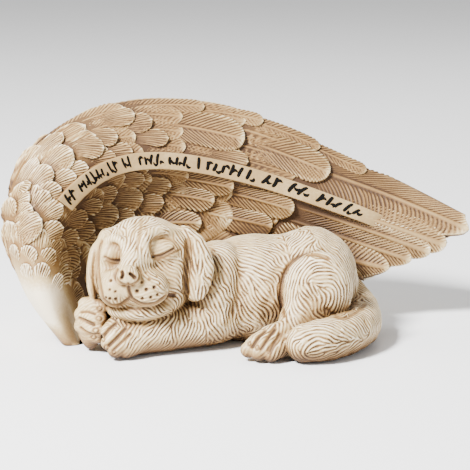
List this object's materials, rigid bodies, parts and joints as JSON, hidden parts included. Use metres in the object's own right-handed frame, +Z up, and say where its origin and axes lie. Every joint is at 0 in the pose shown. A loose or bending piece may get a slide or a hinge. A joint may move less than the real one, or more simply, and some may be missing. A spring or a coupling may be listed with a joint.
{
  "type": "pet memorial statue",
  "caption": "Cast statue of a sleeping puppy curled in front of a feathered wing that arches over it from a foot on the ground, with a smooth ribbon along the wing's brow.",
  "frame": {"origin": "on the flat underside, beneath the puppy's belly", "axes": "+X along the wing, from its foot to the feather tips; -Y towards the viewer, the side of the puppy's face; +Z up"},
  "size_m": [0.2041, 0.1005, 0.0976],
  "materials": {
    "cast_stone": "satin"
  },
  "bodies": {
    "root": {"puppy_in_wing": "cast_stone"}
  },
  "joints": []
}
